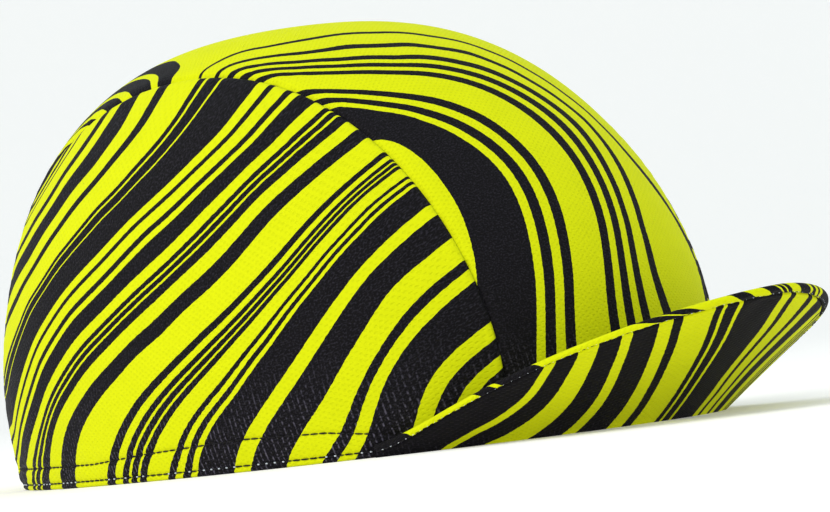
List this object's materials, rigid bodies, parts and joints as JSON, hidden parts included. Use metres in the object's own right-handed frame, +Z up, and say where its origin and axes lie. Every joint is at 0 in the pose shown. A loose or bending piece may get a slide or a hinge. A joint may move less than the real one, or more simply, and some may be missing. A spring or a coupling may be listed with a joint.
{
  "type": "cycling cap",
  "caption": "Soft printed cap with a deep rounded crown of stitched panels, a sweatband inside the hem, and a small curved peak turned up in front.",
  "frame": {"origin": "on the plane of the hem, under the middle of the whole cap with its peak", "axes": "+X to the front, where the peak is, +Y to the wearer's left, +Z up"},
  "size_m": [0.2422, 0.1698, 0.1125],
  "materials": {
    "printed_knit": "matt",
    "printed_peak": "matt",
    "printed_edge": "matt",
    "sweatband": "smooth",
    "elastic": "ribbed",
    "bare_knit": "matt"
  },
  "bodies": {
    "root": {"crown_centre_panel": "printed_knit", "crown_side_panel_left": "printed_knit", "crown_side_panel_right": "printed_knit", "peak_under_cover": "printed_peak", "peak_top_cover": "printed_edge", "sweatband": "sweatband", "back_elastic": "elastic", "seam_allowance_left": "bare_knit", "seam_allowance_right": "bare_knit"}
  },
  "joints": []
}
